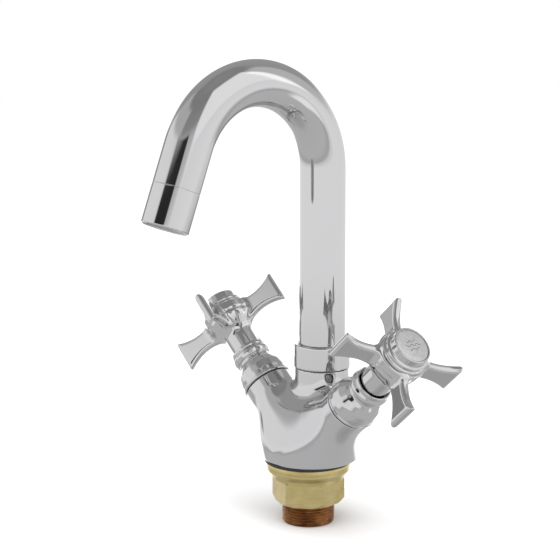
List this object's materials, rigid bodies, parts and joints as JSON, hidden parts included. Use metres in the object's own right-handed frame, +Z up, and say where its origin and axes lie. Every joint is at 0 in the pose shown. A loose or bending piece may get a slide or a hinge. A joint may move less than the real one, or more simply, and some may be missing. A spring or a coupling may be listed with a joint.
{
  "type": "bathroom mixer faucet",
  "caption": "Chromed single-hole basin mixer with a swivelling U-bend spout and a cross handle on each of two tilted valve arms.",
  "frame": {"origin": "on the shank's axis in the deck plane, at the underside of the base gasket", "axes": "+Z up along the shank's axis, -Y towards the user, the way the spout points; +X the cold side, -X the hot side"},
  "size_m": [0.1856, 0.1346, 0.2451],
  "materials": {
    "chrome": "polished chrome plate on brass",
    "brass": "turned bare brass",
    "aged_brass": "darkened threaded brass tube",
    "rubber": "black moulded rubber",
    "ceramic": "lapped alumina ceramic",
    "acetal": "moulded acetal",
    "steel": "stainless steel",
    "index_enamel": "silvery white index disc"
  },
  "bodies": {
    "base": {"body": "chrome", "shank": "aged_brass", "base_gasket": "rubber", "clamp_washer": "brass", "fixing_nut": "brass", "spout_bearing_ring": "acetal", "spout_clip": "steel", "spout_stop_screw": "steel", "hot_headwork": "brass", "hot_head_washer": "acetal", "hot_seat_seal": "rubber", "hot_fixed_disc": "ceramic", "hot_bonnet": "chrome", "cold_headwork": "brass", "cold_head_washer": "acetal", "cold_seat_seal": "rubber", "cold_fixed_disc": "ceramic", "cold_bonnet": "chrome"},
    "spout": {"spout_spigot": "brass", "spout_o_rings": "rubber", "spout_collar": "chrome", "spout_tube": "chrome", "spout_nozzle": "chrome", "aerator_housing": "steel", "aerator_screen": "acetal", "aerator_seal": "rubber"},
    "hot_valve": {"hot_moving_disc": "ceramic", "hot_spindle": "brass", "hot_stem_o_ring": "rubber", "hot_handle": "chrome", "hot_handle_screw": "steel", "hot_cap": "chrome", "hot_index": "index_enamel"},
    "cold_valve": {"cold_moving_disc": "ceramic", "cold_spindle": "brass", "cold_stem_o_ring": "rubber", "cold_handle": "chrome", "cold_handle_screw": "steel", "cold_cap": "chrome", "cold_index": "index_enamel"}
  },
  "joints": [
    {"name": "spout_swivel", "type": "hinge", "parent": "base", "child": "spout", "pos_m": [0, 0.01, 0.042], "axis": [0, 0, 1], "range_deg": [-60, 60]},
    {"name": "hot_handle_turn", "type": "hinge", "parent": "base", "child": "hot_valve", "pos_m": [-0.0654, 0, 0.06498], "axis": [-0.7431, 0, 0.6691], "range_deg": [0, 90]},
    {"name": "cold_handle_turn", "type": "hinge", "parent": "base", "child": "cold_valve", "pos_m": [0.0654, 0, 0.06498], "axis": [-0.7431, 0, -0.6691], "range_deg": [0, 90]}
  ]
}
